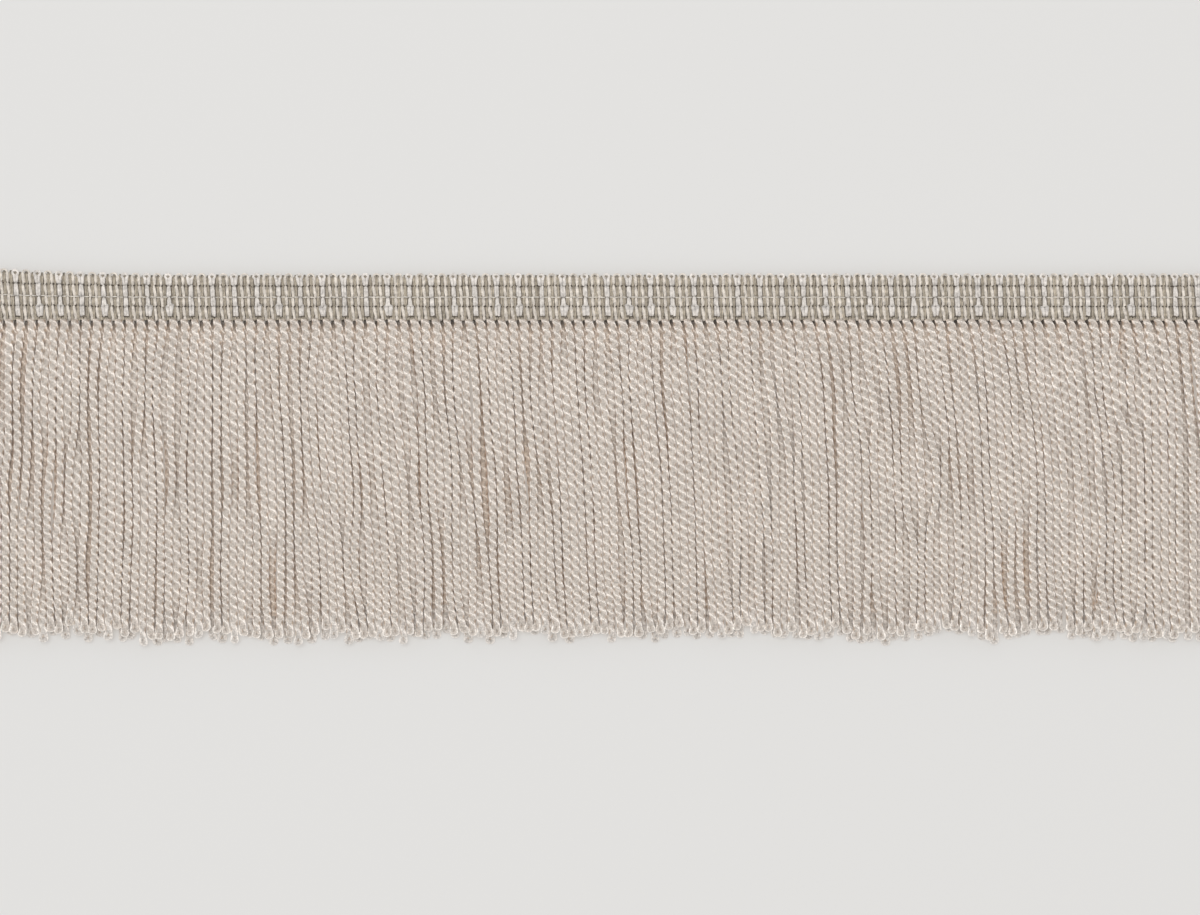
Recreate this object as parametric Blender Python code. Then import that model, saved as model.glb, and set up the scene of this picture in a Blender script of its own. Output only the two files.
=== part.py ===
"""A cut length of bullion fringe, laid flat with its face up.

X runs along the trim, +Y points to the heading's looped top edge, -Y to the cords' loops, and Z is up
from the surface that the trim lies on. The origin is under the middle of its box.

Every place is given by two numbers: along, which is x in metres, and depth, which is the distance below
the heading's top edge.
"""

import math
import random

import bmesh
import bpy

# Driving sizes of the trim, in metres
CORD_PITCH = 0.003
BAR_PITCH = 2 * CORD_PITCH
BARS = 57
LENGTH = BARS * BAR_PITCH
HEADING_DEPTH = 0.0128
CORD_DROP = 0.088
CLEARANCE = 0.0003

# The heading: proud bars and low ribs, each drawn in at the binder warps
HEADING_THICK = 0.0016
BAR_RISE = 0.0011
RIB_RISE = 0.00065
ARCH_DEPTH = 0.0009
PUFF_ROWS = 4
PINCH = 0.00045
EDGE_THICK = 0.0013

# The row's narrow strip, and the cords that grow out of it
STRIP_DEPTH = 0.0011
STRIP_THICK = 0.0012
ROOTS_ON_A_FACET = 16
ROOT_WIDTH = 0.0018
CORD_WIDTH = 0.00235
CORD_THICK = 0.0025
CORD_TOP_SHARE = 0.45
NECK_WIDTH = 0.0017
EYE_WIDTH = 0.0023
TIP_WIDTH = 0.0011
EYE_THICK = 0.0014
TIP_THICK = 0.0009
EYE_ABOVE_TIP = 0.0014
NECK_ABOVE_TIP = 0.0036
SETTLED_BELOW_ROOT = 0.0075

# How far the heading's left end curls towards +Y, and its cords' loops the other way
CURL_STARTS = -0.110
CURL_LENGTH = 0.055
CURL_RISE = 0.0016

# How the cords lean: the sideways shift at four depths below the roots, by place along the trim
LEAN_DEPTHS = {"shoulder": 0.015, "middle": 0.037, "low": 0.059, "hem": 0.084}
LEAN = [
    {"along": -0.171, "shoulder": -0.0012, "middle": -0.0014, "low": -0.0018, "hem": -0.0022},
    {"along": -0.110, "shoulder": -0.0006, "middle": -0.0006, "low": -0.0005, "hem": -0.0010},
    {"along": -0.070, "shoulder": -0.0001, "middle": 0.0016, "low": 0.0028, "hem": 0.0040},
    {"along": 0.000, "shoulder": 0.0003, "middle": 0.0023, "low": 0.0034, "hem": 0.0043},
    {"along": 0.055, "shoulder": 0.0011, "middle": 0.0030, "low": 0.0035, "hem": 0.0040},
    {"along": 0.110, "shoulder": 0.0018, "middle": 0.0038, "low": 0.0042, "hem": 0.0046},
    {"along": 0.171, "shoulder": 0.0009, "middle": 0.0023, "low": 0.0026, "hem": 0.0028},
]

# Where the cords part: the gap is widest at its own depth and closes above and below it
PARTINGS = [
    {"along": -0.1315, "depth": 0.042, "reach": 0.012, "gap": 0.0006},
    {"along": -0.0655, "depth": 0.070, "reach": 0.016, "gap": 0.0007},
    {"along": 0.0624, "depth": 0.058, "reach": 0.026, "gap": 0.0013},
    {"along": 0.1125, "depth": 0.090, "reach": 0.018, "gap": 0.0011},
    {"along": 0.1295, "depth": 0.077, "reach": 0.030, "gap": 0.0014},
]
PARTING_SPREAD = 0.014

# The two rows of cords, from the surface up: the front one's roots lie between the back one's
BACK_CORDS = 2 * BARS
FRONT_CORDS = BACK_CORDS - 1
FRONT_ROOT_Z = STRIP_THICK + CLEARANCE
FRONT_CORD_Z = CORD_THICK + CLEARANCE
ROWS = [
    {"node": "cords_back", "cords": BACK_CORDS, "root_z": 0.0, "cord_z": 0.0, "shorter": 0.0, "seed": 3},
    {
        "node": "cords_front",
        "cords": FRONT_CORDS,
        "root_z": FRONT_ROOT_Z,
        "cord_z": FRONT_CORD_Z,
        "shorter": 0.0017,
        "seed": 8,
    },
]
MIDDLE_BELOW_ROOT = 0.046
WANDER = 0.00012
TIP_SCATTER = 0.0006

FINISHES = {
    "heading": {"color": (0.40, 0.345, 0.29, 1.0), "roughness": 0.75},
    "cords_front": {"color": (0.53, 0.475, 0.42, 1.0), "roughness": 0.7},
    "cords_back": {"color": (0.49, 0.435, 0.38, 1.0), "roughness": 0.7},
}


def smooth_step(share):
    """0 at or before 0, 1 at or past 1, and eased in between."""
    share = min(max(share, 0.0), 1.0)
    return share * share * (3 - 2 * share)


def curl(along):
    """How far towards +Y the left end of the trim curls, at a place along it."""
    past = max(CURL_STARTS - along, 0.0) / CURL_LENGTH
    return CURL_RISE * past * past


def lean_at(along, below_root):
    """The sideways shift of a cord, read from the LEAN table by place and by depth below its root."""
    after = next((i for i, row in enumerate(LEAN) if row["along"] > along), len(LEAN) - 1)
    left, right = LEAN[max(after - 1, 0)], LEAN[after]
    width = right["along"] - left["along"]
    share = smooth_step((along - left["along"]) / width) if width else 0.0
    above, shift_above = 0.0, 0.0
    for name, depth in LEAN_DEPTHS.items():
        shift = left[name] + share * (right[name] - left[name])
        if below_root <= depth:
            return shift_above + (below_root - above) / (depth - above) * (shift - shift_above)
        above, shift_above = depth, shift
    return shift_above


def parted_at(along, below_root):
    """How far the nearest partings push a cord aside."""
    push = 0.0
    for row in PARTINGS:
        side = along + lean_at(along, below_root) - row["along"]
        near = math.exp(-abs(side) / PARTING_SPREAD)
        open_here = math.exp(-(((below_root + HEADING_DEPTH - row["depth"]) / row["reach"]) ** 2))
        push += math.copysign(row["gap"] / 2 * near * open_here, side)
    return push


def cord_along(root, below_root):
    """Where a cord whose root is at this place runs, at a depth below the root."""
    return root + lean_at(root, below_root) + parted_at(root, below_root)


def plan(along, depth):
    """The x and y of a place along the trim and below the heading's top edge, before centring."""
    down_the_heading = min(max(depth / HEADING_DEPTH, 0.0), 1.0)
    down_the_cords = max(depth - HEADING_DEPTH, 0.0) / CORD_DROP
    return along, curl(along) * (1 - down_the_heading - down_the_cords) - depth


def finish_of(name):
    material = bpy.data.materials.new(name)
    material.use_nodes = True
    shader = material.node_tree.nodes["Principled BSDF"]
    shader.inputs["Base Color"].default_value = FINISHES[name]["color"]
    shader.inputs["Roughness"].default_value = FINISHES[name]["roughness"]
    shader.inputs["Metallic"].default_value = 0.0
    return material


def object_from(name, mesh_builder):
    """A named object with its own finish, from a bmesh that holds one closed body."""
    bmesh.ops.recalc_face_normals(mesh_builder, faces=mesh_builder.faces)
    mesh = bpy.data.meshes.new(name)
    mesh_builder.to_mesh(mesh)
    mesh_builder.free()
    mesh.materials.append(finish_of(name))
    made = bpy.data.objects.new(name, mesh)
    bpy.context.collection.objects.link(made)
    return made


def skin_rings(builder, rings):
    """Joins each closed ring of vertices to the next one with four-cornered faces."""
    for ring, following in zip(rings, rings[1:]):
        for i, corner in enumerate(ring):
            beside = (i + 1) % len(ring)
            builder.faces.new((corner, ring[beside], following[beside], following[i]))


def heading_section(along, rise, notch):
    """One cross-section of the heading: its back, its top edge, its puffed face and its lower edge."""
    points = [(notch, 0.0), (notch, EDGE_THICK)]
    row_depth = HEADING_DEPTH / PUFF_ROWS
    for row in range(PUFF_ROWS):
        points.append(((row + 0.5) * row_depth, HEADING_THICK + rise))
        if row < PUFF_ROWS - 1:
            points.append(((row + 1) * row_depth, HEADING_THICK + rise - PINCH))
    points += [(HEADING_DEPTH, EDGE_THICK), (HEADING_DEPTH, 0.0)]
    return [(*plan(along, depth), z) for depth, z in points]


def make_heading():
    """The woven heading: bars and ribs in turn, with a valley between each two."""
    builder = bmesh.new()
    sections = [(-LENGTH / 2, 0.0, ARCH_DEPTH)]
    for place in range(2 * BARS):
        crest = -LENGTH / 2 + (place + 0.5) * CORD_PITCH
        sections.append((crest, RIB_RISE if place % 2 else BAR_RISE, 0.0))
        sections.append((crest + CORD_PITCH / 2, 0.0, ARCH_DEPTH))
    rings = [[builder.verts.new(point) for point in heading_section(*section)] for section in sections]
    skin_rings(builder, rings)
    builder.faces.new(rings[0])
    builder.faces.new(reversed(rings[-1]))
    return object_from("heading", builder)


def cord_section(along, depth, low, width, thick):
    """The four corners of a cord's cross-section, flat below and narrower above."""
    half = width / 2
    top = half * CORD_TOP_SHARE
    corners = [(-half, low), (half, low), (top, low + thick), (-top, low + thick)]
    return [(*plan(along + side, depth), z) for side, z in corners]


def cord_sections(root, row, chance):
    """A cord's cross-sections from just below its root to the tip of its end loop."""
    start = HEADING_DEPTH + CLEARANCE + STRIP_DEPTH
    tip = HEADING_DEPTH + CORD_DROP - row["shorter"] + chance.uniform(-TIP_SCATTER, 0.0)
    low = row["cord_z"]
    stations = [(start + SETTLED_BELOW_ROOT, CORD_WIDTH, CORD_THICK)]
    stations.append((start + MIDDLE_BELOW_ROOT, CORD_WIDTH, CORD_THICK))
    stations.append((tip - NECK_ABOVE_TIP, NECK_WIDTH, CORD_THICK))
    stations.append((tip - EYE_ABOVE_TIP, EYE_WIDTH, EYE_THICK))
    stations.append((tip, TIP_WIDTH, TIP_THICK))
    sections = []
    for depth, width, thick in stations:
        place = cord_along(root, depth - HEADING_DEPTH) + chance.uniform(-WANDER, WANDER)
        sections.append(cord_section(place, depth, low, width, thick))
    return sections


def strip_face(builder, lower, upper_places, row):
    """The strip's back and front faces and its upper wall, in flat facets of several roots each."""
    upper = {}
    for index in upper_places:
        along = lower[index][0].co.x
        x, y = plan(along, HEADING_DEPTH + CLEARANCE)
        upper[index] = [builder.verts.new((x, y, row["root_z"] + level)) for level in (0.0, STRIP_THICK)]
    for first, last in zip(upper_places, upper_places[1:]):
        for level in (0, 1):
            edge = [lower[i][level] for i in range(first, last + 1)]
            builder.faces.new(edge + [upper[last][level], upper[first][level]])
        builder.faces.new((upper[first][0], upper[last][0], upper[last][1], upper[first][1]))
    for end in (upper_places[0], upper_places[-1]):
        builder.faces.new((lower[end][0], lower[end][1], upper[end][1], upper[end][0]))


def make_row(row):
    """One row of cords, their roots fused into the narrow strip at the heading's lower edge."""
    builder = bmesh.new()
    chance = random.Random(row["seed"])
    root_depth = HEADING_DEPTH + CLEARANCE + STRIP_DEPTH
    first_root = -(row["cords"] - 1) / 2 * CORD_PITCH
    lower = []

    def add_lower(along):
        x, y = plan(along, root_depth)
        lower.append([builder.verts.new((x, y, row["root_z"] + level)) for level in (0.0, STRIP_THICK)])

    add_lower(-LENGTH / 2)
    for cord in range(row["cords"]):
        root = first_root + cord * CORD_PITCH
        add_lower(root - ROOT_WIDTH / 2)
        add_lower(root + ROOT_WIDTH / 2)
        left, right = lower[-2], lower[-1]
        rings = [[left[0], right[0], right[1], left[1]]]
        for section in cord_sections(root, row, chance):
            rings.append([builder.verts.new(point) for point in section])
        skin_rings(builder, rings)
        builder.faces.new(rings[-1])
    add_lower(LENGTH / 2)
    for gap in range(0, len(lower), 2):
        left, right = lower[gap], lower[gap + 1]
        builder.faces.new((left[0], right[0], right[1], left[1]))
    upper_places = list(range(0, len(lower) - ROOTS_ON_A_FACET // 2, ROOTS_ON_A_FACET)) + [len(lower) - 1]
    strip_face(builder, lower, upper_places, row)
    return object_from(row["node"], builder)


def centre_on_origin(objects):
    """Moves the meshes so that the origin is under the middle of the box of them all."""
    corners = [vertex.co for made in objects for vertex in made.data.vertices]
    for axis in (0, 1):
        middle = (min(c[axis] for c in corners) + max(c[axis] for c in corners)) / 2
        for corner in corners:
            corner[axis] -= middle


def main():
    for old in list(bpy.data.objects):
        bpy.data.objects.remove(old, do_unlink=True)
    objects = [make_heading()] + [make_row(row) for row in ROWS]
    centre_on_origin(objects)


main()
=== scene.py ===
"""Dresses the bullion fringe: twisted cords, their end loops and the woven heading, lying on a pale floor.

Sizes in the classes below are millimetres. A place on the trim is given by along, which is x, and depth,
the distance below the heading's top edge. Meshes are written in metres, in the frame's own axes.
"""

import logging
import math
from dataclasses import dataclass
from enum import Enum

import bpy
import numpy as np
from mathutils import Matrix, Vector

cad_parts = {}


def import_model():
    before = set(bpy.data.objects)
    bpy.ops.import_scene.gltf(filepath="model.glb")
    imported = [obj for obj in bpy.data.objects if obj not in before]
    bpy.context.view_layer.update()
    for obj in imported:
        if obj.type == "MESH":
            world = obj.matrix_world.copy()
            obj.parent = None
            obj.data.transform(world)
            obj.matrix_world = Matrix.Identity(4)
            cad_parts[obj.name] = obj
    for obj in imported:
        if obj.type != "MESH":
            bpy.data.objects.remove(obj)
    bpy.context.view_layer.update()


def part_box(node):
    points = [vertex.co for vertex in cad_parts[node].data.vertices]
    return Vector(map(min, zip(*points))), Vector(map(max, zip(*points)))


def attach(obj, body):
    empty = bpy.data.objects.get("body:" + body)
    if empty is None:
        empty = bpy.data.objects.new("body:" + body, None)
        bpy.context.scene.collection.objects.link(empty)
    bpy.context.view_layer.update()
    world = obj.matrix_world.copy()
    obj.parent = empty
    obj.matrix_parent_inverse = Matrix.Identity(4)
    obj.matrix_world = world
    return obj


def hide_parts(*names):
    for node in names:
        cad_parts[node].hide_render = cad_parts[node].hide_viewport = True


log = logging.getLogger("bullion_fringe")

MM = 0.001
BODY = "root"
PATH_VALUES = ("twist", "girth", "run", "pale", "shade")
TINY = 1e-6
FULL_TURN = 2 * math.pi
WHITE = (1.0, 1.0, 1.0)

Array = np.ndarray
Chance = np.random.Generator
Floats = tuple[float, ...]
Pair = tuple[float, float]
Triple = tuple[float, float, float]
Table = tuple[dict[str, float], ...]
Object = bpy.types.Object
Material = bpy.types.Material
Node = bpy.types.Node
Socket = bpy.types.NodeSocket
Links = dict[str | int, object]


def bell(at: Array, reach: float) -> Array:
    """A smooth hump that is 1 at 0 and fades past its reach."""
    return np.exp(-((at / reach) ** 2))


def softened(share: Array) -> Array:
    """A share from 0 to 1 that leaves both of its ends gently."""
    return share * share * (3 - 2 * share)


def eased(at: Array, places: Array, values: Array) -> Array:
    """Reads a table between its rows with an eased step instead of a straight line."""
    at = np.clip(at, places[0], places[-1])
    right = np.clip(np.searchsorted(places, at, side="right"), 1, len(places) - 1)
    share = softened((at - places[right - 1]) / (places[right] - places[right - 1]))
    return values[right - 1] + share * (values[right] - values[right - 1])


def spread(at: Array, values: Array | Floats, end: float = 1.0) -> Array:
    """Reads values that are spaced evenly from 0 to an end."""
    return np.interp(at, np.linspace(0, end, len(values)), values)


def column(table: Table, name: str) -> Array:
    """One named column of a table."""
    return np.array([row[name] for row in table])


def tabled(names: str, *rows: Floats) -> Table:
    """Rows of numbers under named columns."""
    return tuple(dict(zip(names.split(), row)) for row in rows)


def held(chance: Chance, low: float = -2.0, high: float = 2.0, size: int | None = None) -> Array | float:
    """Normal random numbers, held within limits."""
    return np.clip(chance.normal(size=size), low, high)


def unit(ways: Array) -> Array:
    """The same directions at unit length."""
    return ways / np.linalg.norm(ways, axis=-1, keepdims=True)


def running(points: Array) -> Array:
    """The distance along a path from its start to each of its points."""
    return np.concatenate([[0.0], np.cumsum(np.linalg.norm(np.diff(points, axis=0), axis=1))])


def tangents(points: Array) -> Array:
    """The direction of a polyline at each of its points."""
    steps = unit(np.diff(points, axis=0))
    return unit(np.concatenate([steps[:1], steps[:-1] + steps[1:], steps[-1:]]))


def cross_axes(along: Array) -> tuple[Array, Array]:
    """The level and the upright axis across each direction of a path."""
    level = unit(np.cross(along, (0.0, 0.0, 1.0)))
    return level, np.cross(along, level)


def twist_towards(points: Array, outward: Array) -> Array:
    """The twist that turns an outline's x axis outward at each point of a path."""
    level, upright = cross_axes(tangents(points))
    return np.arctan2((outward * upright).sum(axis=1), (outward * level).sum(axis=1))


def placed(name: str, data: bpy.types.ID) -> Object:
    """Puts new data into the scene as an object at the origin."""
    made = bpy.data.objects.new(name, data)
    bpy.context.scene.collection.objects.link(made)
    return made


class RowSide(Enum):
    """Which of the two overlapping rows a cord belongs to."""

    BACK = "back"
    FRONT = "front"

    @property
    def node(self) -> str:
        """The name of the row's solid."""
        return f"cords_{self.value}"


@dataclass(frozen=True)
class TrimPlan:
    """The sizes that the heading and the cords share, and how places on the trim map to the frame."""

    cord_pitch: float = 3.0
    bars: int = 57
    heading_depth: float = 12.8
    cord_drop: float = 88.0
    curl_starts: float = -110.0
    curl_length: float = 55.0
    curl_rise: float = 1.6
    shift_x: float = 0.0
    top_y: float = 50.0

    @property
    def length(self) -> float:
        """The length of the trim."""
        return self.bars * self.cord_pitch * 2

    @property
    def crests(self) -> Array:
        """The places of the heading's bars along the trim."""
        return -self.length / 2 + self.cord_pitch / 2 + np.arange(self.bars) * self.cord_pitch * 2

    @classmethod
    def from_frame(cls) -> "TrimPlan":
        """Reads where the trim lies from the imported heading's box.

        Returns:
            The plan, with its top edge and its middle placed on the heading.
        """
        low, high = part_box("heading")
        plain = cls()
        rise = plain.curled(plain.crests[:1], plain.curl_rise)
        return cls(shift_x=(low.x + high.x) / 2 / MM, top_y=high.y / MM - float(rise[0]))

    def curled(self, along: Array, full: float) -> Array:
        """What the curl of the heading's left end adds, which is full one curl length past its start."""
        past = np.maximum(self.curl_starts - along, 0.0) / self.curl_length
        return full * past * past

    def point(self, along: Array, depth: Array, height: Array) -> Array:
        """Places on the trim as points of the frame.

        Args:
            along: Distances along the trim.
            depth: Distances below the heading's top edge.
            height: Distances above the floor.

        Returns:
            One point in metres for each place.
        """
        along, depth, height = np.broadcast_arrays(along, depth, height)
        down_the_heading = np.clip(depth / self.heading_depth, 0.0, 1.0)
        down_the_cords = np.maximum(depth - self.heading_depth, 0.0) / self.cord_drop
        rise = self.curled(along, self.curl_rise) * (1 - down_the_heading - down_the_cords)
        return np.stack([along + self.shift_x, self.top_y + rise - depth, height], axis=-1) * MM


@dataclass(frozen=True)
class Lean:
    """How the cords lean as they lie: sideways shifts at four depths below the roots."""

    depths: Floats = (0.0, 15.0, 37.0, 59.0, 84.0)
    table: Table = tabled(
        "along shoulder middle low hem",
        (-171, -1.2, -1.4, -1.8, -2.2),
        (-110, -0.6, -0.6, -0.5, -1.0),
        (-70, -0.1, 1.6, 2.8, 4.0),
        (0, 0.3, 2.3, 3.4, 4.3),
        (55, 1.1, 3.0, 3.5, 4.0),
        (110, 1.8, 3.8, 4.2, 4.6),
        (171, 0.9, 2.3, 2.6, 2.8),
    )

    def shift(self, root: Array, below: Array) -> Array:
        """The sideways shift of each cord at each station.

        Args:
            root: Places of the roots along the trim.
            below: Depths below the roots, one for each station.

        Returns:
            An array with a row for each cord and a column for each station.
        """
        places = column(self.table, "along")
        names = ("shoulder", "middle", "low", "hem")
        shifts = [eased(root, places, column(self.table, name)) for name in names]
        known = np.stack([np.zeros(len(root)), *shifts], axis=1)
        return np.stack([np.interp(below, self.depths, one) for one in known])


@dataclass(frozen=True)
class Partings:
    """The narrow gaps where neighbouring cords lie apart."""

    spread: float = 14.0
    table: Table = tabled(
        "along depth reach gap",
        (-131.5, 42, 12, 0.6),
        (-65.5, 70, 16, 0.7),
        (62.4, 58, 26, 1.3),
        (112.5, 90, 18, 1.1),
        (129.5, 77, 30, 1.4),
    )

    def push(self, along: Array, depth: Array) -> Array:
        """How far the partings push cords aside, for each cord and station."""
        total = np.zeros(along.shape)
        for row in self.table:
            side = along - row["along"]
            near = np.exp(-np.abs(side) / self.spread)
            total += np.sign(side) * row["gap"] / 2 * near * bell(depth - row["depth"], row["reach"])
        return total


@dataclass(frozen=True)
class CordBed:
    """The lie of both rows of cords, settled on the floor and against each other.

    Back and front give the height of a row's roots and how far its cords wander. Shares are given as what
    holds at the root, and what is gained below it.
    """

    plan: TrimPlan
    lean: Lean = Lean()
    partings: Partings = Partings()
    seed: int = 11
    stations: int = 46
    rounds: int = 220
    back: Pair = (0.95, 0.3)
    front: Pair = (1.55, 0.75)
    wander_knots: int = 6
    quick_wander: float = 0.25
    quick_knots: int = 14
    surface_knots: int = 5
    surface_every: int = 3
    surface_turn: float = 0.9
    surface_stray: float = 0.35
    surface_edge: Pair = (0.30, 0.35)
    surface_below: float = 9.0
    rise_over: float = 4.0
    top_rise: float = 2.1
    top_hold: float = 0.15
    low_hold: float = 0.03
    floor_radius: float = 1.3
    floor_shares: Pair = (0.7, 0.3)
    touch: float = 2.25
    touch_shares: Pair = (0.62, 0.38)
    pull: float = 0.03
    stiffness: float = 0.28
    end_stiffness: float = 0.3
    push: float = 0.42

    def roots(self, side: RowSide) -> Array:
        """The places of a row's roots along the trim."""
        count = self.plan.bars * 2 - (1 if side is RowSide.FRONT else 0)
        return (np.arange(count) - (count - 1) / 2) * self.plan.cord_pitch

    def smooth_noise(self, chance: Chance, cords: int, knots: int) -> Array:
        """Slow random wander for each cord, from 0 at its root, of about unit size."""
        values = chance.normal(size=(cords, knots))
        values[:, 0] = 0.0
        at = np.linspace(0, knots - 1, self.stations)
        return np.stack([eased(at, np.arange(knots, dtype=float), one) for one in values])

    def surfaced(self, noise: Array, rise: Array) -> Array:
        """Where back cords rise to lie between the front ones.

        About one in three is up at any depth, and it is not the same one all the way down.

        Args:
            noise: Slow wander, by cord and station.
            rise: The share of the full height that a cord can have at each station.

        Returns:
            A share from 0 to 1 for each cord and station.
        """
        turn = np.arange(len(noise))[:, None] * FULL_TURN / self.surface_every
        drift = np.cumsum(noise[:, :1] + self.surface_stray * noise[:, -1:], axis=0)
        turn = turn + self.surface_turn * (noise + drift)
        level, width = self.surface_edge
        return softened(np.clip((np.cos(turn) - level) / width, 0.0, 1.0) * rise)

    def planned(self, side: RowSide, below: Array, rise: Array, chance: Chance) -> tuple[Array, Array, Array]:
        """A row as it would lie if its cords didn't touch.

        Args:
            side: Which row.
            below: The depth of each station below the roots.
            rise: How much of its own height a cord has reached at each station.
            chance: The bed's random numbers.

        Returns:
            The places along the trim, the heights, and how firmly each height is held.
        """
        roots = self.roots(side)
        count = len(roots)
        back = side is RowSide.BACK
        start, wander = self.back if back else self.front
        place = roots[:, None] + self.lean.shift(roots, below)
        place = place + self.partings.push(place, (self.plan.heading_depth + below)[None, :])
        place = place + wander * self.smooth_noise(chance, count, self.wander_knots)
        place = place + self.quick_wander * self.smooth_noise(chance, count, self.quick_knots)
        on_top = np.ones(place.shape)
        if back:
            noise = self.smooth_noise(chance, count, self.surface_knots)
            on_top = self.surfaced(noise, 1 - bell(below, self.surface_below))
        end = self.floor_radius + self.top_rise * on_top
        return place, start + (end - start) * rise, self.low_hold + self.top_hold * on_top

    def settle(self) -> dict[RowSide, Array]:
        """Lays both rows down and lets them push each other into place.

        Returns:
            For each row, an array of cords by stations by (along, depth, height).
        """
        chance = np.random.default_rng(self.seed)
        below = np.linspace(0.0, self.plan.cord_drop, self.stations)
        rise = 1 - np.exp(-below / self.rise_over)
        planned = [self.planned(side, below, rise, chance) for side in RowSide]
        goal, high, hold = (np.concatenate(parts) for parts in zip(*planned))
        split = len(planned[0][0])
        x, z = goal.copy(), high.copy()
        root_x, root_z = x[:, :1].copy(), z[:, :1].copy()
        size = self.touch * (self.touch_shares[0] + self.touch_shares[1] * rise)
        floor = self.floor_radius * (self.floor_shares[0] + self.floor_shares[1] * rise)
        pairs = self.neighbours(split, len(x))
        for _ in range(self.rounds):
            x += self.pull * (goal - x)
            z += hold * (high - z)
            for values in (x, z):
                bend = values[:, :-2] - 2 * values[:, 1:-1] + values[:, 2:]
                values[:, 1:-1] += self.stiffness * bend
                values[:, -1] += self.end_stiffness * (2 * values[:, -2] - values[:, -3] - values[:, -1])
            for first, second in pairs:
                dx, dz = x[second] - x[first], z[second] - z[first]
                apart = np.maximum(np.hypot(dx, dz), TINY)
                short = np.maximum(size - apart, 0.0) * self.push / apart
                for values, way in ((x, dx), (z, dz)):
                    values[first] -= short * way
                    values[second] += short * way
            z = np.maximum(z, floor)
            x[:, :1], z[:, :1] = root_x, root_z
        depth = np.broadcast_to(self.plan.heading_depth + below, x.shape)
        lay = np.stack([x, depth, z], axis=-1)
        return {RowSide.BACK: lay[:split], RowSide.FRONT: lay[split:]}

    @staticmethod
    def neighbours(split: int, total: int) -> list[tuple[Array, Array]]:
        """Groups of cord pairs that may touch, with no cord twice in a group.

        Args:
            split: The number of back cords, which come first.
            total: The number of all cords.

        Returns:
            The first and the second cords of each group's pairs.
        """
        front = np.arange(split, total)
        groups = []
        for row in (np.arange(split), front):
            for apart in (1, 2):
                for start in range(2 * apart):
                    first = row[start : -apart : 2 * apart]
                    groups.append((first, first + apart))
        for offset in (-1, 0, 1, 2):
            second = front - split + offset
            inside = (second >= 0) & (second < split)
            groups.append((front[inside], second[inside]))
        return groups


class Skeleton:
    """Polylines with named values at each point, which a node tree turns into yarn."""

    def __init__(self, *names: str) -> None:
        """Starts an empty skeleton whose points carry these values."""
        self.points: list[Array] = []
        self.edges: list[Array] = []
        self.values: dict[str, list[Array]] = {name: [] for name in names}
        self.count = 0

    def add(self, points: Array, closed: bool = False, **values: float | Array) -> None:
        """Adds one polyline.

        Args:
            points: Its points, in metres.
            closed: Whether its end joins its start.
            values: A number or an array for each named value that isn't 0.
        """
        number = len(points)
        index = np.arange(number)
        edges = np.stack([index, np.roll(index, -1)], axis=1)
        self.edges.append((edges if closed else edges[:-1]) + self.count)
        self.points.append(points)
        for name, kept in self.values.items():
            kept.append(np.broadcast_to(np.asarray(values.get(name, 0.0), float), (number,)))
        self.count += number

    def build(self, name: str) -> Object:
        """Makes the object that holds the polylines."""
        mesh = bpy.data.meshes.new(name)
        mesh.from_pydata(np.concatenate(self.points).tolist(), np.concatenate(self.edges).tolist(), [])
        for key, kept in self.values.items():
            attribute = mesh.attributes.new(key, "FLOAT", "POINT")
            attribute.data.foreach_set("value", np.concatenate(kept).astype(np.float32))
        return placed(name, mesh)


@dataclass(frozen=True)
class Outline:
    """The closed outline that a yarn is swept with, as rows of x, y, brightness and depth round it. The
    depth sets how much painted shade falls on the yarn there.

    Its x points away from the middle of what the yarn winds round, or sideways where it lies straight.
    """

    rows: Array

    @classmethod
    def cord(cls, *quarter: Floats) -> "Outline":
        """A whole cord's outline, with a pale crest at both ends of its long axis.

        Args:
            quarter: Rows of x, y, brightness and depth, from the crest round to the short axis.
        """
        one = np.array(quarter)
        half = np.concatenate([one, one[:0:-1] * (-1, 1, 1, 1)])
        return cls(np.concatenate([half, half * (-1, -1, 1, 1)]))

    @classmethod
    def strand(cls, *half: Floats) -> "Outline":
        """One ply's outline in the end loop, with its pale crest on the outer side.

        Args:
            half: Rows of x, y, brightness and depth, from the crest round to the inner side.
        """
        one = np.array(half)
        return cls(np.concatenate([one, one[::-1] * (1, -1, 1, 1)]))

    @classmethod
    def round(cls, sides: int, bright: float, flat: float = 1.0) -> "Outline":
        """A yarn of unit half width, round or flattened."""
        turn = np.arange(sides) / sides * FULL_TURN - math.pi / 2
        rows = [np.cos(turn), flat * np.sin(turn), np.full(sides, bright), np.zeros(sides)]
        return cls(np.stack(rows, axis=1))

    @classmethod
    def double(cls) -> "Outline":
        """Two thin matt strands side by side, of unit half width, with a crease between them on top."""
        turn = np.radians((-90, -58, -25, 20, 90, 160, 205, 238))
        reach = np.array((0.40, 0.84, 1.0, 0.95, 0.6, 0.95, 1.0, 0.84))
        deep = (1.3, 0.15, 0.0, 0.8, 1.0, 0.8, 0.0, 0.15)
        return cls(np.stack([reach * np.cos(turn), reach * np.sin(turn), np.zeros(len(turn)), deep], axis=1))

    def build(self, name: str) -> Object:
        """Makes the outline as an object for a node tree to read."""
        x, y, bright, deep = self.rows.T
        paths = Skeleton("ply_x", "ply_y", "bright", "deep")
        points = np.stack([x, y, np.zeros(len(x))], axis=1)
        paths.add(points * MM, True, ply_x=x, ply_y=y, bright=bright, deep=deep)
        return paths.build(name)


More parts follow.
